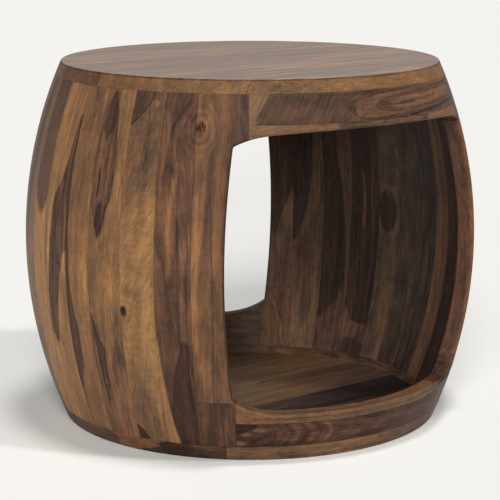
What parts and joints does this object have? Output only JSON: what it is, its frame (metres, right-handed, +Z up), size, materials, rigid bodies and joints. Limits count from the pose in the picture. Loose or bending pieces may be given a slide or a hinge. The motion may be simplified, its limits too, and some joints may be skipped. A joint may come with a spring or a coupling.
{
  "type": "side table",
  "caption": "Barrel-shaped round side table of solid wood staves with a planked top, a planked floor and an arched opening right through from front to back.",
  "frame": {"origin": "centre of the base's underside, on the floor", "axes": "+Z up through the table top, front opening towards -Y, back opening towards +Y, side walls at -X and +X"},
  "size_m": [0.57, 0.5196, 0.45],
  "materials": {
    "stave_wood": "satin lacquer over figured rosewood, golden sapwood and dark heartwood",
    "header_wood": "satin lacquer over dark figured rosewood",
    "sill_wood": "satin lacquer over figured rosewood",
    "top_wood": "satin lacquer over planked rosewood",
    "base_wood": "satin lacquer over brown rosewood",
    "floor_wood": "satin lacquer over planked rosewood",
    "dowel_wood": "plain beech"
  },
  "bodies": {
    "root": {"back_header_lower": "header_wood", "back_header_upper": "header_wood", "back_left_corner_block": "stave_wood", "back_left_header_end": "header_wood", "back_right_corner_block": "stave_wood", "back_right_header_end": "header_wood", "back_sill_lower": "sill_wood", "back_sill_upper": "sill_wood", "base_dowels": "dowel_wood", "base_ring_back": "base_wood", "base_ring_front": "base_wood", "base_ring_left_1": "base_wood", "base_ring_left_2": "base_wood", "base_ring_left_3": "base_wood", "base_ring_right_1": "base_wood", "base_ring_right_2": "base_wood", "base_ring_right_3": "base_wood", "floor_board_1": "floor_wood", "floor_board_2": "floor_wood", "floor_board_3": "floor_wood", "floor_board_4": "floor_wood", "floor_board_5": "floor_wood", "front_header_lower": "header_wood", "front_header_upper": "header_wood", "front_left_corner_block": "stave_wood", "front_left_header_end": "header_wood", "front_right_corner_block": "stave_wood", "front_right_header_end": "header_wood", "front_sill_lower": "sill_wood", "front_sill_upper": "sill_wood", "left_stave_1": "stave_wood", "left_stave_10": "stave_wood", "left_stave_2": "stave_wood", "left_stave_3": "stave_wood", "left_stave_4": "stave_wood", "left_stave_5": "stave_wood", "left_stave_6": "stave_wood", "left_stave_7": "stave_wood", "left_stave_8": "stave_wood", "left_stave_9": "stave_wood", "right_stave_1": "stave_wood", "right_stave_10": "stave_wood", "right_stave_2": "stave_wood", "right_stave_3": "stave_wood", "right_stave_4": "stave_wood", "right_stave_5": "stave_wood", "right_stave_6": "stave_wood", "right_stave_7": "stave_wood", "right_stave_8": "stave_wood", "right_stave_9": "stave_wood", "top_board_1": "top_wood", "top_board_2": "top_wood", "top_board_3": "top_wood", "top_board_4": "top_wood", "top_board_5": "top_wood", "top_board_6": "top_wood", "top_dowels": "dowel_wood"}
  },
  "joints": []
}
